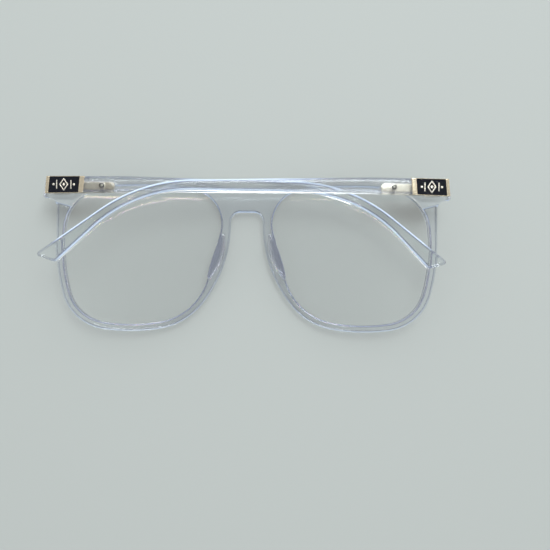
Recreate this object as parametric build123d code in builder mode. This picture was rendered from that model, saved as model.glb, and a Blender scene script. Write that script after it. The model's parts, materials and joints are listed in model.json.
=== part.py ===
from build123d import *
from math import atan, atan2, cos, degrees, radians, sin, sqrt, tan
import os

# Square eyeglasses in clear acetate, folded, lying front down on a table.
# The glasses are drawn with the bridge at the origin: x runs across the front, y up the
# wearer's face, z from the front towards the wearer. At the end they are tipped until
# the bridge and the two rims touch the table. All lengths are in millimetres.

LEFT, RIGHT = -1, 1
side_names = {LEFT: "left", RIGHT: "right"}
standing = (Align.CENTER, Align.CENTER, Align.MIN)
hanging = (Align.CENTER, Align.CENTER, Align.MAX)

# The front, driving sizes
lens_width = 56.4
lens_height = 50.8
bridge_gap = 19.0
rim_width = 2.6
front_radius = 270.0
front_thickness = 4.0
edge_rounding = 0.9
opening_bevel = 0.35
seat_rounding = 0.4
overrun = 20.0
middle_share = 0.5
rest_steps = 20

# The lens outline: four bulged sides between four corners, each corner rounded.
# The corners are shares of half the lens width and height, from the lens centre.
top_nose_shares = (-1.117, 0.886)
top_outer_shares = (0.887, 0.906)
low_outer_shares = (0.819, -0.878)
low_nose_shares = (-0.709, -0.795)
top_bulge = 2.7
outer_bulge = 4.1
low_bulge = 4.0
nose_bulge = 0.1
top_nose_radius = 13.0
top_outer_radius = 16.0
low_outer_radius = 15.0
low_nose_radius = 22.0

# The bridge and the nose sides
arch_height = 16.0
arch_half_width = 6.0
arch_radius = 3.4
brow_join_share = 0.04
nose_join_share = 0.36

# The endpieces: how far they reach past the outer and upper ends of the lens
brow_line_share = 0.45
endpiece_side_share = 0.68
endpiece_top_rise = 2.2
endpiece_bottom_drop = 5.4
endpiece_top_reach = 5.8
endpiece_bottom_reach = 7.0
endpiece_neck_reach = 2.4
endpiece_fillet = 2.5
endpiece_corner_radius = 1.2
endpiece_thickness = 4.2
endpiece_seat_inset = 3.4
endpiece_ramp = 5.5
endpiece_slope = 4.0
endpiece_lip = 0.5

# The lenses and the grooves that hold them
lens_setback = 1.1
lens_thickness = 2.0
groove_depth = 0.6
lens_play = 0.03

# The nose pads, leaning along the nose sides of the lens openings. A crest that tilts
# faces the wearer's nose. The turn and the tilt are in degrees.
pad_length = 21.2
pad_outset = 0.6
pad_turn = 3.3
pad_nose_bulge = 2.9
pad_lens_bulge = 0.45
pad_height = 4.6
pad_crest_length = 19.8
pad_crest_nose_bulge = 2.1
pad_crest_lens_bulge = 0.8
pad_crest_tilt = 14.0
pad_tip_radius = 0.6
pad_rounding = 0.3

# The hinges: leaves sunk flush in the acetate, knuckles on a screw, and rivets
hinge_reach = 1.9
hinge_drop = 1.4
butt_length = 2.15
butt_gap = 0.05
butt_lean = 5.2
axis_gap = 1.3
knuckle_count = 5
knuckle_radius = 1.25
knuckle_height = 1.0
knuckle_gap = 0.05
leaf_thickness = 0.9
leaf_corner_radius = 0.6
front_leaf_length = 4.9
front_rivet_setback = 3.2
front_rivet_pitch = 2.6
front_rivet_radius = 0.45
front_rivet_length = 2.3
front_rivet_head = 0.75
rivet_sink = 0.3
rivet_crown = 0.15
screw_radius = 0.6
screw_grip = 0.02
screw_play = 0.05
screw_head_radius = 1.0
screw_head_height = 0.5
screw_slot_width = 0.25
screw_slot_depth = 0.2

# The temple's hinge leaf, a wide root and a narrow tongue with a round end
temple_leaf_root = 1.6
temple_leaf_shoulder = 3.0
temple_leaf_length = 21.3
tongue_width = 2.8
temple_rivet_radius = 0.7
temple_rivet_length = 2.8
temple_rivet_head = 1.0
near_rivet_reach = 6.0
far_rivet_reach = 16.9

# The temples, seen from outside: x along the temple from the hinge axis, y up.
# Each outline corner has its reach along the temple and its height over the hinge.
temple_thickness = 3.8
tip_thickness = 3.1
temple_rounding = 0.9
inner_rounding = 0.5
butt_top = 2.95
butt_foot = -3.05
crown_reach = 24.3
crown_top = 3.3
bend_top_reach = 104.4
bend_top = 1.6
waist_reach = 29.3
waist_foot = -2.2
bend_foot_lag = 1.9
bend_foot = -1.6
ear_length = 44.8
ear_foot_length = 37.2
long_edge_radius = 120.0
bend_top_radius = 56.0
bend_foot_radius = 50.0
tip_top_radius = 1.0
tip_foot_radius = 1.6

# In degrees: how far each ear's upper edge turns down, how much more its lower edge does,
# and how far each folded temple rises from its hinge, as one lies on the other
ear_turns = {LEFT: 38.5, RIGHT: 35.4}
ear_flare_turn = 7.6
fold_turns = {LEFT: -1.75, RIGHT: 1.9}

# The metal caps at the temple ends, with enamel and an ornament
cap_reach = 10.95
cap_proud = 0.25
cap_plate = 0.6
cap_wall = 0.35
cap_play = 0.02
cap_rounding = 0.12
butt_rail = 1.1
far_rail = 1.65
enamel_margin = 0.17
enamel_thickness = 0.3
enamel_sink = 0.05
ornament_height = 0.12
lozenge_width = 3.2
lozenge_height = 4.4
lozenge_line = 0.5
core_width = 1.0
core_height = 1.3
bar_width = 0.35
bar_height = 3.0
bar_place = 2.45
dot_radius = 0.4
dot_place = 3.5


def drop(radius, x):
    """How far an arc about the y axis has curved back at a place x across the front."""
    return radius - sqrt(radius**2 - x**2)


lens_x = (bridge_gap + lens_width) / 2
lens_end_x = lens_x + lens_width / 2
lens_top = lens_height / 2
endpiece_top_x = lens_end_x + endpiece_top_reach
endpiece_bottom_x = lens_end_x + endpiece_bottom_reach
endpiece_neck_x = lens_end_x + endpiece_neck_reach
endpiece_seat_x = lens_end_x - endpiece_seat_inset
endpiece_top = lens_top + endpiece_top_rise
endpiece_bottom = lens_top - endpiece_bottom_drop
hinge_x = lens_end_x + hinge_reach
hinge_y = lens_top - hinge_drop
back_radius = front_radius - front_thickness
contact_height = drop(front_radius, endpiece_bottom_x) + endpiece_thickness
axis_z = contact_height + butt_gap + butt_length
lean_slope = tan(radians(butt_lean))


def lens_point(shares):
    """A corner of the right lens outline."""
    return (lens_x + shares[0] * lens_width / 2, shares[1] * lens_height / 2)


top_nose, top_outer = lens_point(top_nose_shares), lens_point(top_outer_shares)
low_outer, low_nose = lens_point(low_outer_shares), lens_point(low_nose_shares)

with BuildSketch() as lens_outline:
    with BuildLine():
        top_side = SagittaArc(top_nose, top_outer, top_bulge)
        outer_side = SagittaArc(top_outer, low_outer, outer_bulge)
        SagittaArc(low_outer, low_nose, low_bulge)
        nose_side = SagittaArc(low_nose, top_nose, nose_bulge)
    make_face()
    for corner, radius in (
        (top_nose, top_nose_radius),
        (top_outer, top_outer_radius),
        (low_outer, low_outer_radius),
        (low_nose, low_nose_radius),
    ):
        fillet(lens_outline.vertices().sort_by_distance(corner)[0], radius)


def beside(arc, share, outset):
    """A point a share of the way along an arc of the lens outline, moved outwards."""
    on_lens = arc @ share
    return on_lens + (on_lens - arc.arc_center).normalized() * outset


def rim_point(place, share, outset):
    """A point beside the arc of the lens outline nearest to a place, and the arc's way there."""
    arc = lens_outline.edges().sort_by_distance(place)[0]
    return beside(arc, share, outset), arc % share


def outset_lens(outset):
    """The lens outline moved outwards: each arc keeps its centre."""
    with BuildSketch() as area:
        with BuildLine():
            for arc in lens_outline.edges():
                ThreePointArc(*[beside(arc, share, outset) for share in (0, middle_share, 1)])
        make_face()
    return area.sketch


brow_point, brow_way = rim_point(top_nose, brow_join_share, rim_width)
flange_point, flange_way = rim_point(low_nose, nose_join_share, rim_width)
line_point, line_way = rim_point(top_side @ middle_share, brow_line_share, rim_width)
side_point, side_way = rim_point(
    outer_side @ middle_share, endpiece_side_share, rim_width
)
lens_centre = (lens_x, 0)
brow_rise = atan2(abs(brow_way.Y), abs(brow_way.X))
bridge_top = brow_point.Y - brow_point.X * tan(brow_rise / 2)

with BuildSketch() as front_outline:
    add(outset_lens(rim_width))
    with BuildLine():
        TangentArc((0, bridge_top), brow_point, tangent=(1, 0))
        Line(brow_point, lens_centre)
        Line(lens_centre, flange_point)
        nose_edge = TangentArc(
            flange_point, (arch_half_width, arch_height), tangent=flange_way * -1
        )
        Line((arch_half_width, arch_height), (0, arch_height))
        Line((0, arch_height), (0, bridge_top))
    make_face()
    with BuildLine():
        TangentArc(line_point, (endpiece_top_x, endpiece_top), tangent=line_way * -1)
        Line((endpiece_top_x, endpiece_top), (endpiece_bottom_x, endpiece_bottom))
        Line((endpiece_bottom_x, endpiece_bottom), (endpiece_neck_x, endpiece_bottom))
        TangentArc(side_point, (endpiece_neck_x, endpiece_bottom), tangent=side_way)
        Line(side_point, lens_centre)
        Line(lens_centre, line_point)
    make_face()
    for corner, radius in (
        ((arch_half_width, arch_height), arch_radius),
        ((endpiece_neck_x, endpiece_bottom), endpiece_fillet),
        ((endpiece_bottom_x, endpiece_bottom), endpiece_corner_radius),
        ((endpiece_top_x, endpiece_top), endpiece_corner_radius),
    ):
        fillet(front_outline.vertices().sort_by_distance(corner)[0], radius)
    mirror(about=Plane.YZ)


def seat_height(y):
    """The height of the endpiece's back face, which leans with the end of the temple."""
    return contact_height + lean_slope * (y - hinge_y)


def bent_profile(radius, reach):
    """The area behind an arc about the y axis, as lines for a sketch across the front."""
    setback = front_radius - radius
    end = (reach, setback + drop(radius, reach))
    ThreePointArc((-end[0], end[1]), (0, setback), end)
    Polyline(end, (reach, reach), (-reach, reach), (-end[0], end[1]))


# The endpieces' thickening, a block at each end with a ramp, which seats the temple's end
reach = endpiece_bottom_x + overrun
middle_radius = front_radius - front_thickness / 2
ramp_x = endpiece_seat_x - endpiece_ramp
ramp_base = front_thickness + drop(back_radius, ramp_x)
block_top = contact_height + overrun
seat_edge = endpiece_bottom - endpiece_lip
ramp_run = endpiece_ramp * (block_top - ramp_base) / (contact_height - ramp_base)

with BuildPart() as endpiece_blocks:
    with BuildSketch(Plane.XZ):
        with BuildLine():
            Polyline(
                (ramp_x, 0),
                (ramp_x, ramp_base),
                (ramp_x + ramp_run, block_top),
                (ramp_x + ramp_run + reach, block_top),
                (ramp_x + ramp_run + reach, 0),
                close=True,
            )
        make_face()
        mirror(about=Plane.YZ)
    extrude(amount=reach, both=True)
    with BuildSketch(Plane.YZ):
        with BuildLine():
            Polyline(
                (seat_edge - endpiece_slope, 0),
                (seat_edge - endpiece_slope, ramp_base),
                (seat_edge, seat_height(seat_edge)),
                (reach, seat_height(reach)),
                (reach, 0),
                close=True,
            )
        make_face()
    extrude(amount=reach, both=True, mode=Mode.INTERSECT)
    with BuildSketch(Plane.XZ):
        with BuildLine():
            bent_profile(middle_radius, reach)
        make_face()
    extrude(amount=reach, both=True, mode=Mode.INTERSECT)
    extrude(front_outline.sketch, amount=reach, mode=Mode.INTERSECT)
    for seat in endpiece_blocks.faces().filter_by(GeomType.PLANE).sort_by(Axis.Z)[-2:]:
        fillet(seat.outer_wire().edges().sort_by(Axis.Y)[1:], seat_rounding)
    with BuildSketch() as lens_openings:
        add(lens_outline.sketch)
        mirror(about=Plane.YZ)
    extrude(amount=reach, mode=Mode.SUBTRACT)


def bent_plate(near, far, outline):
    """A plate between two arcs about the y axis, cut to an outline seen from the front."""
    with BuildPart() as plate:
        with BuildSketch(Plane.XZ):
            with BuildLine():
                bent_profile(near, reach)
            make_face()
            with BuildLine():
                bent_profile(far, reach)
            make_face(mode=Mode.SUBTRACT)
        extrude(amount=reach, both=True)
        extrude(outline, amount=reach, mode=Mode.INTERSECT)
    return plate.part


def bent_faces(plate):
    """The front and back faces of a bent plate, the front one first."""
    return plate.faces().filter_by(GeomType.CYLINDER).sort_by(SortBy.AREA)[-2:].sort_by(Axis.Z)


# The lenses, and the grooves that their edges stand in
lens_front = front_radius - lens_setback
lens_back = lens_front - lens_thickness
with BuildPart() as lens:
    add(bent_plate(lens_front, lens_back, outset_lens(groove_depth - lens_play)))

# The hinge leaf on the front, with its knuckles, rivets and screw, on the right side
knuckle_step = knuckle_height + knuckle_gap
leaf_width = knuckle_count * knuckle_step - knuckle_gap
leaf_foot = hinge_y - leaf_width / 2
leaf_top = hinge_y + leaf_width / 2
leaf_start = hinge_x - front_leaf_length
leaf_end = hinge_x + knuckle_radius
knuckle_places = [
    (2 * step + 1 - knuckle_count) * knuckle_step / 2 for step in range(knuckle_count)
]
web_height = axis_z - contact_height + leaf_thickness / 2
front_rivet_x = hinge_x - front_rivet_setback

with BuildPart() as front_hinge_rivets:
    for rivet_y in (hinge_y - front_rivet_pitch / 2, hinge_y + front_rivet_pitch / 2):
        with Locations((front_rivet_x, rivet_y, seat_height(rivet_y) + rivet_crown)):
            Cylinder(front_rivet_radius, front_rivet_length, align=hanging)
            Cylinder(front_rivet_head, rivet_crown + rivet_sink, align=hanging)

with BuildPart() as front_leaf:
    with BuildSketch(Plane.YZ):
        with BuildLine():
            Polyline(
                (leaf_foot, seat_height(leaf_foot)),
                (leaf_top, seat_height(leaf_top)),
                (leaf_top, seat_height(leaf_top) - leaf_thickness),
                (leaf_foot, seat_height(leaf_foot) - leaf_thickness),
                close=True,
            )
        make_face()
    extrude(amount=reach)
    with BuildSketch() as leaf_area:
        with Locations((leaf_start, hinge_y)):
            Rectangle(leaf_end - leaf_start, leaf_width, align=(Align.MIN, Align.CENTER))
        fillet(leaf_area.vertices().sort_by(Axis.X)[:2], leaf_corner_radius)
    extrude(amount=reach, mode=Mode.INTERSECT)

with BuildPart() as front_hinge:
    add(front_leaf.part)
    with BuildSketch(*[Plane.XZ.offset(-hinge_y - place) for place in knuckle_places[::2]]):
        with Locations((hinge_x, axis_z)):
            Circle(knuckle_radius)
            Rectangle(knuckle_radius * 2, web_height, align=(Align.CENTER, Align.MAX))
    extrude(amount=knuckle_height / 2, both=True)
    with BuildSketch(Plane.XZ.offset(-hinge_y)):
        with Locations((hinge_x, axis_z)):
            Circle(screw_radius + screw_grip)
    extrude(amount=leaf_width, both=True, mode=Mode.SUBTRACT)
    add(front_hinge_rivets.part, mode=Mode.SUBTRACT)

with BuildPart() as hinge_screw:
    with BuildSketch(Plane.XZ.offset(-leaf_foot)):
        with Locations((hinge_x, axis_z)):
            Circle(screw_radius)
    extrude(amount=-leaf_width)
    with BuildSketch(Plane.XZ.offset(-leaf_top)):
        with Locations((hinge_x, axis_z)):
            Circle(screw_head_radius)
    extrude(amount=-screw_head_height)
    with BuildSketch(Plane.XZ.offset(-leaf_top - screw_head_height)):
        with Locations((hinge_x, axis_z)):
            Rectangle(screw_head_radius * 2, screw_slot_width)
    extrude(amount=screw_slot_depth, mode=Mode.SUBTRACT)

# The front: a bent plate with rounded edges, lens openings with grooves, and endpieces
with BuildPart() as front_frame:
    add(bent_plate(front_radius, back_radius, front_outline.sketch))
    for end in (0, 1):
        fillet(bent_faces(front_frame)[end].outer_wire().edges(), edge_rounding)
    extrude(lens_openings.sketch, amount=reach, mode=Mode.SUBTRACT)
    for end in (0, 1):
        chamfer(bent_faces(front_frame)[end].inner_wires().edges(), opening_bevel)
    add(endpiece_blocks.part)
    groove = bent_plate(
        lens_front + lens_play, lens_back - lens_play, outset_lens(groove_depth)
    )
    sunk_pieces = [groove, front_leaf.part, front_hinge_rivets.part]
    add(sunk_pieces, mode=Mode.SUBTRACT)
    mirror(sunk_pieces, about=Plane.YZ, mode=Mode.SUBTRACT)

# A nose pad, on the back of the rim along the nose side of the right lens
pad_centre, pad_way = rim_point(nose_side @ middle_share, middle_share, pad_outset)
pad_seat = front_thickness + drop(back_radius, pad_centre.X)
pad_plane = Plane(origin=pad_centre, x_dir=(pad_way * -1).rotate(Axis.Z, pad_turn))


def pad_outline(length, towards_nose, towards_lens):
    """Lines round a slice of the pad: an arc towards the nose and one towards the lens."""
    SagittaArc((-length / 2, 0), (length / 2, 0), towards_nose)
    SagittaArc((length / 2, 0), (-length / 2, 0), towards_lens)


with BuildPart() as nose_pad:
    with BuildSketch(pad_plane.offset(pad_seat - opening_bevel)) as pad_root:
        with BuildLine():
            pad_outline(pad_length, pad_nose_bulge, pad_lens_bulge)
        make_face()
        fillet(pad_root.vertices(), pad_tip_radius)
    ridge_place = pad_plane.offset(pad_seat + pad_height).location
    with BuildSketch(Plane(ridge_place * Rotation(pad_crest_tilt, 0, 0))) as pad_ridge:
        with BuildLine():
            pad_outline(pad_crest_length, pad_crest_nose_bulge, pad_crest_lens_bulge)
        make_face()
        fillet(pad_ridge.vertices(), pad_tip_radius)
    loft()
    fillet(nose_pad.faces().sort_by(Axis.Z)[-1].edges(), pad_rounding)
    add(front_frame.part, mode=Mode.SUBTRACT)

# The temples and what they carry are drawn flat, seen from outside, with the hinge
# axis along y at the origin, x along the temple and z outward
outer_face = axis_gap + temple_thickness
cap_top = outer_face + cap_proud
core_top = cap_top - cap_plate
flange_foot = axis_gap + temple_thickness / 2
enamel_top = cap_top - enamel_sink


def draw_temple_outline(side):
    """The side view of a temple, round from the top of its hinge end."""
    drop_angle = radians(ear_turns[side])
    foot_angle = radians(ear_turns[side] + ear_flare_turn)
    bend_foot_reach = bend_top_reach + bend_foot_lag
    with BuildSketch() as outline:
        with BuildLine():
            FilletPolyline(
                (lean_slope * butt_top - butt_length, butt_top),
                (crown_reach, crown_top),
                (bend_top_reach, bend_top),
                (
                    bend_top_reach + ear_length * cos(drop_angle),
                    bend_top - ear_length * sin(drop_angle),
                ),
                (
                    bend_foot_reach + ear_foot_length * cos(foot_angle),
                    bend_foot - ear_foot_length * sin(foot_angle),
                ),
                (bend_foot_reach, bend_foot),
                (waist_reach, waist_foot),
                (lean_slope * butt_foot - butt_length, butt_foot),
                radius=[
                    0,
                    long_edge_radius,
                    bend_top_radius,
                    tip_top_radius,
                    tip_foot_radius,
                    bend_foot_radius,
                    long_edge_radius,
                    0,
                ],
                close=True,
            )
        make_face()
    return outline.sketch


temple_outlines = {side: draw_temple_outline(side) for side in side_names}


def lozenge(width, height, mode=Mode.ADD):
    """A lozenge standing on its point."""
    Polygon((width / 2, 0), (0, height / 2), (-width / 2, 0), (0, -height / 2), mode=mode)


def leaning_band(start, end):
    """A band across the temple, between two lines that lean like its hinge end."""
    lean = lean_slope * overrun
    Polyline(
        (start - lean, -overrun),
        (end - lean, -overrun),
        (end + lean, overrun),
        (start + lean, overrun),
        close=True,
    )


def cap_area(inset, start, end):
    """The hinge end of a temple, drawn in on its long sides, between two leaning lines."""
    with BuildSketch() as area:
        with BuildLine():
            Polyline(
                (lean_slope * butt_top - butt_length, butt_top - inset),
                (crown_reach, crown_top - inset),
                (waist_reach, waist_foot + inset),
                (lean_slope * butt_foot - butt_length, butt_foot + inset),
                close=True,
            )
        make_face()
        with BuildLine():
            leaning_band(start, end)
        make_face(mode=Mode.INTERSECT)
    return area.sketch


# The temple's hinge leaf: the tongue's end is round, and the even knuckles are on it
with BuildPart() as temple_rivets:
    rivet_foot = axis_gap - rivet_crown
    with Locations((near_rivet_reach, 0, rivet_foot), (far_rivet_reach, 0, rivet_foot)):
        Cylinder(temple_rivet_radius, temple_rivet_length, align=standing)
        Cylinder(temple_rivet_head, rivet_crown + rivet_sink, align=standing)

with BuildPart() as temple_leaf:
    with BuildSketch(Plane.XY.offset(axis_gap)) as leaf_shape:
        with Locations((-temple_leaf_root, 0)):
            root_length = temple_leaf_root + temple_leaf_shoulder
            Rectangle(root_length, leaf_width, align=(Align.MIN, Align.CENTER))
        fillet(leaf_shape.vertices(), leaf_corner_radius)
        tongue_reach = temple_leaf_length - tongue_width / 2
        Rectangle(tongue_reach, tongue_width, align=(Align.MIN, Align.CENTER))
        with Locations((tongue_reach, 0)):
            Circle(tongue_width / 2)
    extrude(amount=leaf_thickness)

with BuildPart() as temple_hinge:
    add(temple_leaf.part)
    with BuildSketch(*[Plane.XZ.offset(-place) for place in knuckle_places[1::2]]):
        Circle(knuckle_radius)
        web_length = axis_gap + leaf_thickness / 2
        Rectangle(knuckle_radius * 2, web_length, align=(Align.CENTER, Align.MIN))
    extrude(amount=knuckle_height / 2, both=True)
    with BuildSketch(Plane.XZ):
        Circle(screw_radius + screw_play)
    extrude(amount=leaf_width, both=True, mode=Mode.SUBTRACT)
    add(temple_rivets.part, mode=Mode.SUBTRACT)

# The cap: a plate with walls on three sides, and a recess for the enamel
with BuildPart() as end_cap:
    with BuildSketch(Plane.XY.offset(flange_foot)):
        add(temple_outlines[LEFT])
        with BuildLine():
            leaning_band(-overrun, cap_reach)
        make_face(mode=Mode.INTERSECT)
    extrude(amount=cap_top - flange_foot)
    fillet(end_cap.faces().sort_by(Axis.Z)[-1].edges(), cap_rounding)
    with BuildSketch(Plane.XY.offset(flange_foot)):
        add(cap_area(cap_wall, cap_wall - butt_length, cap_reach + overrun))
    extrude(amount=core_top - flange_foot, mode=Mode.SUBTRACT)
    enamel_area = cap_area(enamel_margin, butt_rail - butt_length, cap_reach - far_rail)
    with BuildSketch(Plane.XY.offset(enamel_top - enamel_thickness)):
        add(enamel_area)
    extrude(amount=overrun, mode=Mode.SUBTRACT)

with BuildPart() as enamel:
    with BuildSketch(Plane.XY.offset(enamel_top - enamel_thickness)):
        add(enamel_area)
    extrude(amount=enamel_thickness)

# The ornament: a lozenge frame round a small lozenge, between two bars and two dots
with BuildPart() as ornament:
    with BuildSketch(Plane.XY.offset(enamel_top)):
        with Locations(enamel_area.face().center()):
            lozenge(lozenge_width, lozenge_height)
            lozenge(lozenge_width - 2 * lozenge_line, lozenge_height - 2 * lozenge_line, Mode.SUBTRACT)
            lozenge(core_width, core_height)
            with Locations((-bar_place, 0), (bar_place, 0)):
                Rectangle(bar_width, bar_height)
            with Locations((-dot_place, 0), (dot_place, 0)):
                Circle(dot_radius)
    extrude(amount=ornament_height)


def draw_temple(side):
    """A temple's acetate, with its rebate for the cap, leaf recess and rivet holes."""
    thinning = temple_thickness - tip_thickness
    taper = Plane(
        origin=(lean_slope * butt_foot - butt_length, 0, outer_face),
        x_dir=(bend_top_reach + ear_length, 0, -thinning),
        z_dir=(thinning, 0, bend_top_reach + ear_length),
    )
    with BuildPart() as temple:
        with BuildSketch(Plane.XY.offset(axis_gap)):
            add(temple_outlines[side])
        extrude(amount=temple_thickness)
        split(bisect_by=taper, keep=Keep.BOTTOM)
        fillet(temple.faces().sort_by(Axis.Z)[-1].edges(), temple_rounding)
        fillet(temple.faces().sort_by(Axis.Z)[0].edges(), inner_rounding)
        with BuildSketch(Plane.XY.offset(flange_foot - cap_play)):
            with BuildLine():
                leaning_band(-overrun, cap_reach + cap_play)
            make_face()
            rebate_wall = cap_wall + cap_play
            rebate = cap_area(rebate_wall, rebate_wall - butt_length, cap_reach + overrun)
            add(rebate, mode=Mode.SUBTRACT)
        extrude(amount=overrun, mode=Mode.SUBTRACT)
        with BuildSketch(Plane.XY.offset(core_top - cap_play)):
            with BuildLine():
                leaning_band(-overrun, cap_reach + cap_play)
            make_face()
        extrude(amount=overrun, mode=Mode.SUBTRACT)
        add([temple_leaf.part, temple_rivets.part], mode=Mode.SUBTRACT)
    return temple.part


# The folded pair is tipped until the arch and the two nose flanges rest on the table
rest_slope = min(
    drop(front_radius, place.X + edge_rounding) / (arch_height + edge_rounding - place.Y)
    for place in [nose_edge @ (step / rest_steps) for step in range(rest_steps + 1)]
)
tipped = Rotation(degrees(atan(rest_slope)), 0, 0)
front_box = front_frame.part.moved(tipped).bounding_box()
lay_down = Pos(0, -front_box.center().Y, -front_box.min.Z) * tipped


def write(piece, name, place=Location()):
    """Put a piece where it lies on the table, label it and write its file."""
    with BuildPart() as laid:
        with Locations(lay_down * place):
            add(piece)
    laid.part.label = name
    export_step(laid.part, f"parts/{name}.step")


os.makedirs("parts", exist_ok=True)
write(front_frame.part, "front_frame")
for side, side_name in side_names.items():
    for name, piece in (
        ("lens", lens),
        ("nose_pad", nose_pad),
        ("front_hinge", front_hinge),
        ("front_hinge_rivets", front_hinge_rivets),
        ("hinge_screw", hinge_screw),
    ):
        placed = piece.part if side == RIGHT else mirror(piece.part, about=Plane.YZ)
        write(placed, f"{name}_{side_name}")
    rise = radians(fold_turns[side])
    fold_plane = Plane(
        origin=(side * hinge_x, hinge_y, axis_z),
        x_dir=(-side * cos(rise), 0, sin(rise)),
        z_dir=(side * sin(rise), 0, cos(rise)),
    )
    for name, flat in (
        ("temple", draw_temple(side)),
        ("temple_hinge", temple_hinge.part),
        ("temple_rivets", temple_rivets.part),
        ("end_cap", end_cap.part),
        ("enamel", enamel.part),
        ("ornament", ornament.part),
    ):
        placed = flat if side == LEFT else mirror(flat, about=Plane.XZ)
        write(placed, f"{name}_{side_name}", fold_plane.location)
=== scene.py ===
# %% [markdown]
# # Square eyeglasses in clear acetate, folded, lying front down
# The solids come from the CAD model and stay as they are. This lesson gives them their
# finishes: clear acetate, coated lenses, pale gold, steel and black enamel. Then it adds
# the ends of the hinge pins, which the solids leave out. All lengths are in metres.

# %% Load the frame
import json
import math

import bpy
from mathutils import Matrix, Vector


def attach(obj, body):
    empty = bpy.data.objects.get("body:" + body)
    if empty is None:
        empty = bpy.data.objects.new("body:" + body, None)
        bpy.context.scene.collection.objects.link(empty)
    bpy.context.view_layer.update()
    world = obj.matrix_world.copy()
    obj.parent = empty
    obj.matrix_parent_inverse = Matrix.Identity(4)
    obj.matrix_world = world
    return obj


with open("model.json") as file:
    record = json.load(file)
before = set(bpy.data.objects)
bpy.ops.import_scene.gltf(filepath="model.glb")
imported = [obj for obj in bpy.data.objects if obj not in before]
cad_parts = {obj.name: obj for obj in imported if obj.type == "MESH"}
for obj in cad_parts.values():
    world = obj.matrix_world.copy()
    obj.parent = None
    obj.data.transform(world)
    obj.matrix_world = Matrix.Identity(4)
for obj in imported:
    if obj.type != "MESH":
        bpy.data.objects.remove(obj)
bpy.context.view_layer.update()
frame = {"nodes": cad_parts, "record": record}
nodes = frame["nodes"]
millimetre = 0.001

# %% [markdown]
# ## The camera
# The glasses were seen from straight above, a little to one side of the middle, with the
# camera turned by less than half a degree. The camera could be tilted to bring them into
# the frame, but that would make their sides lean, so the lens is shifted instead.

# %% Place the camera
camera_place = (-0.56 * millimetre, -7.05 * millimetre, 280 * millimetre)
camera_turn = math.radians(0.42)
focal_pixels, image_pixels, shift_pixels = 746, 550, 30
camera_data = bpy.data.cameras.new("camera")
camera_data.sensor_width = 36
camera_data.lens = camera_data.sensor_width * focal_pixels / image_pixels
camera_data.shift_x = shift_pixels / image_pixels
camera_data.clip_start = 10 * millimetre
camera = bpy.data.objects.new("camera", camera_data)
bpy.context.scene.collection.objects.link(camera)
camera.location = camera_place
camera.rotation_euler = (0, 0, camera_turn)
bpy.context.scene.camera = camera
bpy.context.scene.view_settings.view_transform = "Standard"
print("lens:", round(camera_data.lens, 2), "mm")

# %% [markdown]
# ## Light inside clear plastic
# Light can run along inside a clear rim and turn back at its walls many times before it
# comes out. With few turns allowed, such a place looks black, and a paler plastic would
# not mend it, so the limit itself is raised.

# %% Let light turn back often
light_turns = 40
tracer = bpy.context.scene.cycles
for limit in ("max_bounces", "transmission_bounces", "glossy_bounces", "transparent_max_bounces"):
    setattr(tracer, limit, light_turns)
print("turns allowed:", light_turns)

# %% [markdown]
# ## Shader sums
# A finish is a small calculation over the surface. It could be drawn by hand in the node
# editor, but a sum is easier to read in Python. One class wraps a socket, so that a finish
# can be written as a sum, and one method makes any other node.

# %% A socket that can be used in sums
def both_ways(operation):
    def forward(self, other):
        return self.math(operation, self, other)

    def reflected(self, other):
        return self.math(operation, other, self)

    return forward, reflected


class Wire:
    def __init__(self, sheet, socket):
        self.sheet, self.socket = sheet, socket

    def math(self, operation, first, second=0.0):
        return self.sheet.node("ShaderNodeMath", {"operation": operation}, {0: first, 1: second})

    __add__, __radd__ = both_ways("ADD")
    __sub__, __rsub__ = both_ways("SUBTRACT")
    __mul__, __rmul__ = both_ways("MULTIPLY")
    __truediv__, __rtruediv__ = both_ways("DIVIDE")
    __pow__, __rpow__ = both_ways("POWER")

    def __abs__(self):
        return self.math("ABSOLUTE", self)

    def sign(self):
        return self.math("SIGN", self)


# %% A sheet of nodes
def set_stops(elements, stops):
    while len(elements) < len(stops):
        elements.new(1.0)
    for element, (place, shade) in zip(elements, stops):
        element.position, element.color = place, shade


class Sheet:
    def __init__(self, tree):
        self.tree = tree
        self.tree.nodes.clear()

    def node(self, kind, settings, values, out=0):
        made = self.tree.nodes.new(kind)
        for key, setting in settings.items():
            if key == "stops":
                set_stops(made.color_ramp.elements, setting)
            else:
                setattr(made, key, setting)
        for key, value in values.items():
            for source in value if isinstance(value, list) else [value]:
                if isinstance(source, Wire):
                    self.tree.links.new(source.socket, made.inputs[key])
                else:
                    made.inputs[key].default_value = source
        return Wire(self, made.outputs[out]) if made.outputs else None


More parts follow.
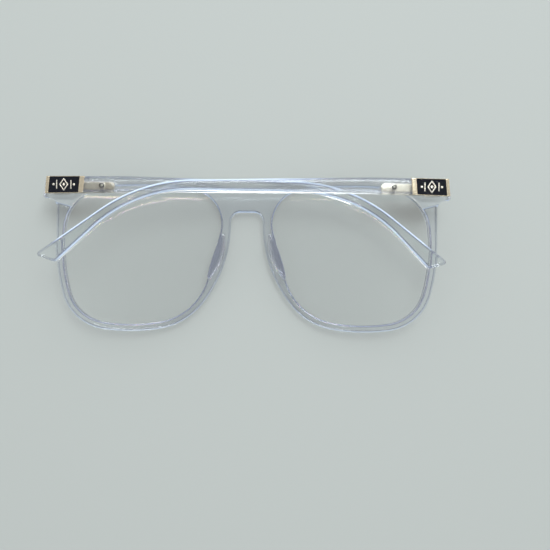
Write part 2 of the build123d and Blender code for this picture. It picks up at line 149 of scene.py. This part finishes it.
# %% A finish in the making
class Recipe(Sheet):
    def __init__(self, owner):
        self.owner = owner
        owner.use_nodes = True
        super().__init__(owner.node_tree)

    def place(self):
        return self.node("ShaderNodeTexCoord", {}, {}, "Object")

    def part(self, vector, axis):
        return self.node("ShaderNodeSeparateXYZ", {}, {"Vector": vector}, axis)

    def noise(self, scale, detail=2.0):
        values = {"Vector": self.place(), "Scale": scale, "Detail": detail}
        return self.node("ShaderNodeTexNoise", {}, values)

    def ramp(self, value, *stops):
        return self.node("ShaderNodeValToRGB", {"stops": stops}, {"Fac": value})

    def grey_ramp(self, value, *stops):
        return self.ramp(value, *[(place, (level, level, level, 1)) for place, level in stops])

    def blend(self, share, first, second):
        values = {"Factor": share, "A": first, "B": second}
        return self.node("ShaderNodeMix", {"data_type": "RGBA"}, values, "Result")

    def rounded(self, radius, samples):
        return self.node("ShaderNodeBevel", {"samples": samples}, {"Radius": radius})

    def bump(self, height, depth, strength, **more):
        values = {"Height": height, "Distance": depth, "Strength": strength, **more}
        return self.node("ShaderNodeBump", {}, values)

    def shader(self, **values):
        return self.node("ShaderNodeBsdfPrincipled", {}, values)

    def layer(self, share, under, over):
        return self.node("ShaderNodeMixShader", {}, {0: share, 1: under, 2: over})

    def finish(self, shader):
        self.node("ShaderNodeOutputMaterial", {}, {"Surface": shader})
        return self.owner


# %% [markdown]
# ## The table
# The glasses lie on a pale table. It could be a slab with a pattern, but the table is not
# part of the object, so one big flat square of one colour is enough. It takes the soft
# shadow and shows through the clear plastic, so its colour sets the tone of all the rest.

# %% Make the table top
def make_table(name, half_width, colour):
    mesh = bpy.data.meshes.new(name)
    corners = [(-1, -1, 0), (1, -1, 0), (1, 1, 0), (-1, 1, 0)]
    mesh.from_pydata([Vector(corner) * half_width for corner in corners], [], [(0, 1, 2, 3)])
    table = bpy.data.objects.new(name, mesh)
    bpy.context.scene.collection.objects.link(table)
    paint = Recipe(bpy.data.materials.new(name + "_paint"))
    flat_paint = paint.shader(**{"Base Color": (*colour, 1), "Roughness": 0.7})
    mesh.materials.append(paint.finish(flat_paint))
    return table


table_colour = (0.435, 0.462, 0.44)
table = make_table("table_top", 3.0, table_colour)
print("made", table.name, "in", table_colour)

# %% [markdown]
# ## The light
# A window lies beyond the top edge of the picture. A lamp alone would light the gold well
# and leave the plastic dead, because clear plastic only shows by what it mirrors and bends.
# So the room around it is painted too: bright along its walls, dimmer overhead where the
# camera is, and dim on the side away from the window.

# %% Hang the window
def make_window(name, place, target, size, watts, colour):
    lamp = bpy.data.lights.new(name, "AREA")
    lamp.shape = "RECTANGLE"
    lamp.size, lamp.size_y = size
    lamp.energy = watts
    lamp.color = colour
    window = bpy.data.objects.new(name, lamp)
    bpy.context.scene.collection.objects.link(window)
    window.location = place
    aim = Vector(target) - Vector(place)
    window.rotation_euler = aim.to_track_quat("-Z", "Y").to_euler()
    return window


window_place, window_target, window_size = (0.16, 0.45, 1.1), (0, 0, 0), (0.5, 0.4)
window_watts, daylight = 8.3, (0.92, 0.97, 1.0)
window = make_window("window", window_place, window_target, window_size, window_watts, daylight)
print("window:", tuple(window.location))

# %% Paint the room
bright_wall, dim_ceiling = (1.8, 1.82, 1.86, 1), (0.68, 0.69, 0.70, 1)
away_strength, window_strength = 0.40, 1.05


def paint_room():
    room = Recipe(bpy.data.worlds.new("room"))
    way = room.node("ShaderNodeTexCoord", {}, {}, "Generated")
    height, depth = room.part(way, "Z"), room.part(way, "Y")
    walls = room.ramp(height, (0.05, bright_wall), (0.85, dim_ceiling))
    reach = {"From Min": -0.9, "From Max": 0.6, "To Min": away_strength, "To Max": window_strength}
    nearness = room.node("ShaderNodeMapRange", {}, {"Value": depth, **reach})
    glow = room.node("ShaderNodeBackground", {}, {"Color": walls, "Strength": nearness})
    room.node("ShaderNodeOutputWorld", {}, {"Surface": glow})
    return room.owner


bpy.context.scene.world = paint_room()
print("room:", bpy.context.scene.world.name)

# %% [markdown]
# ## Clear acetate
# Acetate is a clear plastic that is cut from sheet, bent and tumbled until it shines. It
# bends light about as much as window glass. Light that runs along inside the sheet comes
# out at its rounded edges, which look like pale blue bands with a thin slate line beside
# them. Here both are painted: the pale blue is a painted glow and the slate a painted dark
# line. Plain glass would leave these out, because the sharp edges of the solids catch
# little light, and colours by the angle of view would slide when the camera moves. So the
# finish asks how far a surface leans from the flat of its plate: flat is clear, a little
# lean gets the painted slate, more lean the painted pale blue. A bevelled normal widens the
# painted bands without a change to the solid, and a low, wide bump keeps the faces a touch
# uneven.

# %% Let light through to the table
def see_through(recipe, shader, flat_tint, steep_tint):
    facing = recipe.node("ShaderNodeLayerWeight", {}, {"Blend": 0.5}, "Facing")
    flat = recipe.node("ShaderNodeBsdfTransparent", {}, {"Color": (*flat_tint, 1)})
    steep = recipe.node("ShaderNodeBsdfTransparent", {}, {"Color": (*steep_tint, 1)})
    shadow_ray = recipe.node("ShaderNodeLightPath", {}, {}, "Is Shadow Ray")
    table_ray = recipe.node("ShaderNodeLightPath", {}, {}, "Is Diffuse Ray")
    passed = recipe.layer(facing ** 2.0, flat, steep)
    return recipe.layer(shadow_ray + table_ray, shader, passed)


# %% Measure how far a surface leans from its plate
# The slant says how bright the painted glow of an edge is: one that faces the cheeks
# gets both lights (1.0), one that faces the brow gets their difference (0.2), one that faces
# sideways none.
even_light, low_light = 0.6, 0.4


def lean_from_plate(recipe, normal, curve):
    turned = recipe.node(
        "ShaderNodeVectorTransform",
        {"vector_type": "NORMAL", "convert_from": "WORLD", "convert_to": "OBJECT"},
        {"Vector": normal},
    )
    across, upward, through = [recipe.part(turned, axis) for axis in "XYZ"]
    spread = across * through.sign() + recipe.part(recipe.place(), "X") * curve
    lean = (spread * spread + upward * upward) ** 0.5
    slant = (abs(upward) * even_light - upward * low_light) / (lean + 0.001)
    return lean, slant, across, upward


# %% Find the middle of a lens
lens_corners = [corner.co for corner in nodes["lens_left"].data.vertices]
lens_middle = sum(lens_corners, Vector()) / len(lens_corners)
print("middle of a lens in mm:", [round(length / millimetre, 1) for length in lens_middle])

# %% [markdown]
# ## Edges of the front
# A rim has two edges. Beside the lens the painted glow and dark line are strong, and
# outside the lens they are faint, so the finish asks whether a surface faces the middle of
# its lens. The raised part of each endpiece is thick and gets no painted line at all. Both
# could be painted by hand on a map, but a rule on the place holds for every surface and
# every view.

# %% Tell the edge beside a lens from the edge outside
# An edge beside a lens faces its middle and keeps its whole line. An edge outside faces
# away and keeps a quarter. The second number says how sharply one turns into the other.
outside_line, change_over = 0.25, 20


def beside_lens(recipe, across, upward):
    x, y = recipe.part(recipe.place(), "X"), recipe.part(recipe.place(), "Y")
    sideways = (abs(x) - abs(lens_middle.x)) * (across * x.sign())
    outward = sideways + (y - lens_middle.y) * upward
    return recipe.grey_ramp(0.5 - outward * change_over, (0.4, outside_line), (0.6, 1.0))


# %% Fade the painted lines on the raised endpieces
# The back of the front is a bow. A surface is on an endpiece where it is far from the
# nose and stands higher over that bow than the rims do.
front_curve = 1 / (268 * millimetre)
rim_height, rim_fade = 4.2 * millimetre, 0.5 * millimetre
endpiece_start, endpiece_fade = 50 * millimetre, 4 * millimetre


def off_the_endpieces(recipe):
    x, z = recipe.part(recipe.place(), "X"), recipe.part(recipe.place(), "Z")
    far_out = (abs(x) - endpiece_start) * (1 / endpiece_fade)
    raised = (z - x * x * (front_curve / 2) - rim_height) * (1 / rim_fade)
    clear = recipe.grey_ramp(raised, (0.0, 0.0), (1.0, 0.9))
    return 1.0 - recipe.grey_ramp(far_out, (0.0, 0.0), (1.0, 1.0)) * clear


# %% Choose the painted bands by the lean
# The lean is 0 on the flat of the plate and 1 where a wall stands upright on it.
# The slate is a painted dark line and the pale blue a painted glow; the acetate has neither
# colour.
painted_shade_slate, painted_glow_blue = (0.055, 0.07, 0.15, 1), (0.67, 0.80, 0.99, 1)
slate_end, blue_start, blue_end, upright = 0.34, 0.46, 0.85, 0.98
slate_rise, faintest_band = 0.08, 0.25


def painted_band_share(recipe, lean, slate_start, slate_share, blue_share):
    return recipe.grey_ramp(
        lean,
        (slate_start, 0.0),
        (slate_start + slate_rise, slate_share),
        (slate_end, slate_share),
        (blue_start, blue_share),
        (blue_end, blue_share),
        (upright, 0.0),
    )


# %% Mix the clear acetate
acetate_flat, acetate_steep = (0.94, 0.945, 0.955), (0.42, 0.39, 0.37)


def clear_acetate(name, tint_and_shade, bevel, edge, curve=0.0, along=None):
    recipe = Recipe(bpy.data.materials.new(name))
    rounded = recipe.rounded(bevel, 8)
    plastic = recipe.shader(
        **{
            "Base Color": tint_and_shade(recipe) if callable(tint_and_shade) else (*tint_and_shade, 1),
            "Roughness": recipe.noise(400.0, 4.0) * 0.04,
            "IOR": 1.49,
            "Transmission Weight": 1.0,
            "Normal": recipe.bump(recipe.noise(90.0), 0.2 * millimetre, 0.2, Normal=rounded),
        }
    )
    lean, slant, across, upward = lean_from_plate(recipe, rounded, curve)
    if along is None:
        strength = slant
        beside = beside_lens(recipe, across, upward) + slant * 0.5
        weight = beside * off_the_endpieces(recipe)
    else:
        strength = along(recipe)
        weight = strength * (1 - faintest_band) + faintest_band
    # The glow shader is painted light: a matte coat in the painted slate or pale blue laid on the
    # edges.
    painted_bands = recipe.ramp(lean, (slate_end, painted_shade_slate), (blue_start, painted_glow_blue))
    glow = recipe.shader(
        **{
            "Base Color": recipe.blend(strength, painted_shade_slate, painted_bands),
            "Roughness": 0.3,
            "Coat Weight": 0.4,
        }
    )
    inside = recipe.node("ShaderNodeNewGeometry", {}, {}, "Backfacing")
    share = painted_band_share(recipe, lean, *edge) * weight * (1.0 - inside)
    edged = recipe.layer(share, plastic, glow)
    return recipe.finish(see_through(recipe, edged, acetate_flat, acetate_steep))


# %% Follow the temple from its hinge to its tip
# A mark gives a place along the temple, in millimetres from the middle of the glasses.
ruler_length = 160


def along_temple(hand, *marks):
    def shade(recipe):
        along = recipe.part(recipe.place(), "X") * (hand / (ruler_length * millimetre)) + 0.5
        stops = [(mark / ruler_length + 0.5, (*level, 1)) for mark, level in marks]
        return recipe.ramp(along, *stops)

    return shade


# %% Mix the acetate of each temple
# The painted glow bands are faint on the trunk, full on the ear and almost gone at the tip.
# An edge says where the painted slate starts, and how strong the painted slate and the
# painted blue are.
sides = {1: "left", -1: "right"}
faint, full, trace = (0.15,) * 3, (1.0,) * 3, (0.05,) * 3
# The trunk is painted darker than the ear, a painted shade where it lies over the front; the ear
# keeps the acetate's own tint.
trunk_tint_painted_shade, ear_tint = (0.80, 0.81, 0.82), (0.92, 0.945, 0.955)
temple_bevel, temple_edge = 1.6 * millimetre, (0.15, 0.85, 0.85)
temple_acetate = {}
for hand, side in sides.items():
    corners = nodes[f"temple_{side}"].data.vertices
    reach = max(corner.co.x * hand for corner in corners) / millimetre
    painted_bands = along_temple(hand, (-30, faint), (-10, full), (reach - 8, full), (reach - 4, trace))
    tint_and_shade = along_temple(hand, (-15, trunk_tint_painted_shade), (25, ear_tint))
    name = f"temple_acetate_{side}"
    temple_acetate[side] = clear_acetate(name, tint_and_shade, temple_bevel, temple_edge, along=painted_bands)
    print("made", name, "with its tip at", round(reach, 1), "mm")

# %% Mix the acetate of the front and of the nose pads
front_tint, front_bevel, front_edge = (0.89, 0.91, 0.935), 0.5 * millimetre, (0.12, 0.65, 0.6)
front_acetate = clear_acetate("front_acetate", front_tint, front_bevel, front_edge, front_curve)
pad_tint, pad_bevel, pad_edge = (0.80, 0.80, 0.86), 0.8 * millimetre, (0.1, 0.25, 0.35)
pad_acetate = clear_acetate("pad_acetate", pad_tint, pad_bevel, pad_edge)
print("made", front_acetate.name, "and", pad_acetate.name)

# %% [markdown]
# ## Coated lenses
# The lenses are clear and have a thin coating that keeps reflections down, so that the
# little that is left of them has a colour. That colour could be mixed by hand, but it
# changes with the angle, and Blender's thin film does the same sum as the coating.

# %% Mix the lens
lens_flat, lens_steep = (0.96, 0.962, 0.96), (0.5, 0.5, 0.55)


def coated_lens(name):
    recipe = Recipe(bpy.data.materials.new(name))
    glass = recipe.shader(
        **{
            "Base Color": (0.93, 0.94, 0.938, 1),
            "Roughness": 0.0,
            "IOR": 1.5,
            "Transmission Weight": 1.0,
            "Thin Film Thickness": 420.0,
            "Thin Film IOR": 1.38,
        }
    )
    return recipe.finish(see_through(recipe, glass, lens_flat, lens_steep))


lens_finish = coated_lens("coated_lens")
print("made", lens_finish.name)

# %% [markdown]
# ## Plated gold
# The end caps and their ornaments are plated in a pale gold that has been handled. One
# even colour would look like paint, and scratches drawn one by one would be too coarse for
# a cap of a few millimetres. So a coarse noise dulls it in patches, and a fine grain
# roughens it and shakes its normal, which a small bevel rounds at the edges.

# %% Mix the gold
def plated_gold(name, colour, worn_colour, roughness):
    recipe = Recipe(bpy.data.materials.new(name))
    wear = recipe.grey_ramp(recipe.noise(700.0, 5.0), (0.45, 0.0), (0.7, 1.0))
    grain = recipe.noise(6000.0, 1.0)
    rounded = recipe.rounded(0.5 * millimetre, 4)
    gold = recipe.shader(
        **{
            "Base Color": recipe.blend(wear * 0.6, (*colour, 1), (*worn_colour, 1)),
            "Metallic": 1.0,
            "Roughness": wear * 0.12 + grain * 0.06 + roughness,
            "Normal": recipe.bump(grain, 0.02 * millimetre, 0.3, Normal=rounded),
        }
    )
    return recipe.finish(gold)


cap_gold = plated_gold("cap_gold", (0.68, 0.595, 0.44), (0.52, 0.44, 0.31), 0.12)
ornament_gold = plated_gold("ornament_gold", (0.86, 0.81, 0.70), (0.74, 0.67, 0.54), 0.16)
print("made", cap_gold.name, "and", ornament_gold.name)

# %% [markdown]
# ## The hinge leaves
# A leaf is pressed from sheet and plated too. Its round end is bright, and its root, which
# lies under the temple's acetate, is painted darker, a painted shade, and made rougher. The
# shaded part could be cut off as a piece of its own, but it is one leaf, so a ramp along its
# length makes the change. It starts 50 mm from the middle of the glasses. The right leaf is
# painted brighter than the left, a painted light; both are the same metal.

# %% Mix the leaf
ramp_start, ramp_length = 50 * millimetre, 10 * millimetre
bright_until, shade_from = 0.05, 0.2


def pressed_leaf(name, bright_gold, shaded_gold):
    recipe = Recipe(bpy.data.materials.new(name))
    along = (abs(recipe.part(recipe.place(), "X")) - ramp_start) * (1 / ramp_length)
    # Painted shade: the root of the leaf is darkened where the temple's acetate covers it.
    shade_under_acetate = recipe.grey_ramp(along, (bright_until, 0.0), (shade_from, 1.0))
    wear = recipe.grey_ramp(recipe.noise(900.0, 5.0), (0.4, 0.0), (0.75, 1.0))
    metal = recipe.shader(
        **{
            "Base Color": recipe.blend(shade_under_acetate * 0.8 + wear * 0.2, bright_gold, shaded_gold),
            "Metallic": 0.6,
            "Roughness": shade_under_acetate * 0.3 + wear * 0.1 + 0.18,
            "Normal": recipe.bump(recipe.noise(3000.0, 2.0), 0.02 * millimetre, 0.3),
        }
    )
    return recipe.finish(metal)


left_leaf = pressed_leaf("leaf_left", (0.54, 0.495, 0.385, 1), (0.43, 0.40, 0.33, 1))
# The right leaf is painted far brighter than the left, a painted light for the lamp light on it;
# both leaves are the same metal.
right_leaf_painted_bright = pressed_leaf("leaf_right_painted_bright", (0.92, 0.88, 0.75, 1), (0.88, 0.84, 0.71, 1))
print("made", left_leaf.name, "and", right_leaf_painted_bright.name)

# %% [markdown]
# ## Steel and enamel
# The hinge screws and the rivets are plain steel with fine turning marks, which a noise on
# the roughness stands for. The enamel is a poured black gloss that sits a hair below its
# rails. A plain black would do from afar, but close by it shows dust and a wavy skin.

# %% Mix the steel
def screw_steel(name):
    recipe = Recipe(bpy.data.materials.new(name))
    metal = recipe.shader(
        **{
            "Base Color": (0.55, 0.54, 0.52, 1),
            "Metallic": 1.0,
            "Roughness": recipe.noise(2500.0, 3.0) * 0.2 + 0.2,
        }
    )
    return recipe.finish(metal)


steel = screw_steel("screw_steel")
print("made", steel.name)

# %% Mix the enamel
def black_enamel(name):
    recipe = Recipe(bpy.data.materials.new(name))
    dust = recipe.grey_ramp(recipe.noise(1800.0, 6.0), (0.62, 0.0), (0.72, 1.0))
    gloss = recipe.shader(
        **{
            "Base Color": recipe.blend(dust, (0.004, 0.005, 0.009, 1), (0.03, 0.032, 0.04, 1)),
            "Roughness": dust * 0.25 + 0.12,
            "Specular IOR Level": 0.2,
            "Coat Weight": 0.1,
            "Coat Roughness": 0.04,
            "Normal": recipe.bump(recipe.noise(350.0), 0.05 * millimetre, 0.3),
        }
    )
    return recipe.finish(gloss)


enamel = black_enamel("black_enamel")
print("made", enamel.name)

# %% [markdown]
# ## Dress the solids
# Each CAD solid keeps its shape and takes the finish of its material slot. Some pieces
# differ from others in their slot: the ornament is a paler gold than its cap, the nose
# pads are greyer than the front, and each temple has bands of its own. A second list
# names these, so the slots of the CAD model can stay few.

# %% List the finishes
finishes = {
    "acetate_clear": front_acetate,
    "lens_clear": lens_finish,
    "hinge_gold": left_leaf,
    "cap_gold": cap_gold,
    "screw_steel": steel,
    "enamel_black": enamel,
}
own_finishes = {
    "temple_hinge_right": right_leaf_painted_bright,
    "front_hinge_right": right_leaf_painted_bright,
    "temple_left": temple_acetate["left"],
    "temple_right": temple_acetate["right"],
    "ornament_left": ornament_gold,
    "ornament_right": ornament_gold,
    "nose_pad_left": pad_acetate,
    "nose_pad_right": pad_acetate,
    "temple_rivets_left": steel,
    "temple_rivets_right": steel,
}
print("slots:", len(finishes), "pieces with their own finish:", len(own_finishes))

# %% Give each solid its finish
subparts = frame["record"]["subparts"]
for entry in subparts:
    solid = nodes[entry["node"]]
    solid.data.materials.clear()
    solid.data.materials.append(own_finishes.get(entry["node"], finishes[entry["material_slot"]]))
print("dressed:", len(subparts))

# %% [markdown]
# ## Pin heads
# Each temple leaf is held by two pins that run up into the acetate. The end of a pin is a
# low dome. Round it lies a ring of black enamel, a painted shade for the shadow in the gap of
# the drilled hole. They could be modelled one by one, but both are round about one axis and
# there is one at each pin, so Geometry Nodes make them on a cloud of points: a squashed ball
# for the dome, and a circle swept along a circle for the shade ring.

# %% Mix the dull end of a pin
def pin_metal(name):
    recipe = Recipe(bpy.data.materials.new(name))
    stain = recipe.grey_ramp(recipe.noise(1500.0, 4.0), (0.4, 0.0), (0.7, 1.0))
    metal = recipe.shader(
        **{
            "Base Color": recipe.blend(stain, (0.42, 0.41, 0.35, 1), (0.24, 0.24, 0.20, 1)),
            "Metallic": 0.7,
            "Roughness": stain * 0.2 + 0.45,
        }
    )
    return recipe.finish(metal)


pin_finish = pin_metal("pin_metal")
print("made", pin_finish.name)

# %% Find the ends of the pins
def pin_ends(node_name):
    corners = [corner.co for corner in nodes[node_name].data.vertices]
    middle = sum(corner.x for corner in corners) / len(corners)
    first = [corner for corner in corners if corner.x < middle]
    second = [corner for corner in corners if corner.x >= middle]
    ends = []
    for pin in (first, second):
        top = max(corner.z for corner in pin)
        rim = [corner for corner in pin if corner.z > top - 0.1 * millimetre]
        ends.append(sum(rim, Vector()) / len(rim))
    return ends


pin_places = {side: pin_ends(f"temple_rivets_{side}") for side in sides.values()}
for side, ends in pin_places.items():
    print(side, "pins in mm:", [[round(length / millimetre, 2) for length in end] for end in ends])

# %% Open a tree with named inputs
def open_tree(name, inputs):
    tree = bpy.data.node_groups.new(name, "GeometryNodeTree")
    face = tree.interface
    face.new_socket("Geometry", in_out="INPUT", socket_type="NodeSocketGeometry")
    keys = {}
    for label, kind in inputs.items():
        keys[label] = face.new_socket(label, in_out="INPUT", socket_type=kind).identifier
    face.new_socket("Geometry", in_out="OUTPUT", socket_type="NodeSocketGeometry")
    return tree, keys


# %% Put a shape on every point
def on_points(sheet, points, shape, finish):
    values = {"Points": points, "Instance": shape}
    copies = sheet.node("GeometryNodeInstanceOnPoints", {}, values)
    solid = sheet.node("GeometryNodeRealizeInstances", {}, {"Geometry": copies})
    smooth = sheet.node("GeometryNodeSetShadeSmooth", {}, {"Geometry": solid})
    values = {"Geometry": smooth, "Material": finish}
    return sheet.node("GeometryNodeSetMaterial", {}, values)


# %% Draw the tree of the pin heads
ball_segments, ball_rings, dome_height = 24, 12, 0.25
ring_steps, wire_steps = 32, 10
pin_inputs = {
    "Dome radius": "NodeSocketFloat",
    "Shade ring radius": "NodeSocketFloat",
    "Shade ring wire": "NodeSocketFloat",
    "Dome finish": "NodeSocketMaterial",
    "Shade ring finish": "NodeSocketMaterial",
}


def pin_head_tree(name):
    tree, keys = open_tree(name, pin_inputs)
    sheet = Sheet(tree)
    given = {key: sheet.node("NodeGroupInput", {}, {}, key) for key in ("Geometry", *pin_inputs)}
    values = {"Segments": ball_segments, "Rings": ball_rings, "Radius": given["Dome radius"]}
    ball = sheet.node("GeometryNodeMeshUVSphere", {}, values)
    values = {"Geometry": ball, "Scale": (1, 1, dome_height)}
    dome = sheet.node("GeometryNodeTransform", {}, values)
    values = {"Resolution": ring_steps, "Radius": given["Shade ring radius"]}
    way = sheet.node("GeometryNodeCurvePrimitiveCircle", {}, values)
    values = {"Resolution": wire_steps, "Radius": given["Shade ring wire"]}
    wire = sheet.node("GeometryNodeCurvePrimitiveCircle", {}, values)
    shade_ring = sheet.node("GeometryNodeCurveToMesh", {}, {"Curve": way, "Profile Curve": wire})
    points = given["Geometry"]
    domes = on_points(sheet, points, dome, given["Dome finish"])
    shade_rings = on_points(sheet, points, shade_ring, given["Shade ring finish"])
    both = sheet.node("GeometryNodeJoinGeometry", {}, {"Geometry": [domes, shade_rings]})
    sheet.node("NodeGroupOutput", {}, {"Geometry": both})
    return tree, keys


pin_tree, pin_keys = pin_head_tree("pin_heads")
print("made", pin_tree.name, "with inputs", list(pin_keys))

# %% Grow shapes on points and keep them as a plain mesh
def grow(name, points, tree, keys, values):
    cloud = bpy.data.meshes.new(name + "_points")
    cloud.from_pydata(points, [], [])
    holder = bpy.data.objects.new(name + "_points", cloud)
    bpy.context.scene.collection.objects.link(holder)
    maker = holder.modifiers.new("grow", "NODES")
    maker.node_group = tree
    for label, value in values.items():
        maker[keys[label]] = value
    seen = holder.evaluated_get(bpy.context.evaluated_depsgraph_get())
    mesh = bpy.data.meshes.new_from_object(seen)
    bpy.data.objects.remove(holder)
    piece = bpy.data.objects.new(name, mesh)
    bpy.context.scene.collection.objects.link(piece)
    return piece


# %% Grow the pin heads on each temple
# The black enamel ring is a painted shade for the gap round each pin.
pin_values = {
    "Dome radius": 0.55 * millimetre,
    "Shade ring radius": 0.68 * millimetre,
    "Shade ring wire": 0.14 * millimetre,
    "Dome finish": pin_finish,
    "Shade ring finish": enamel,
}
for side, ends in pin_places.items():
    heads = grow(f"pin_heads_{side}", ends, pin_tree, pin_keys, pin_values)
    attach(heads, f"temple_{side}")
    print(heads.name, "faces:", len(heads.data.polygons))
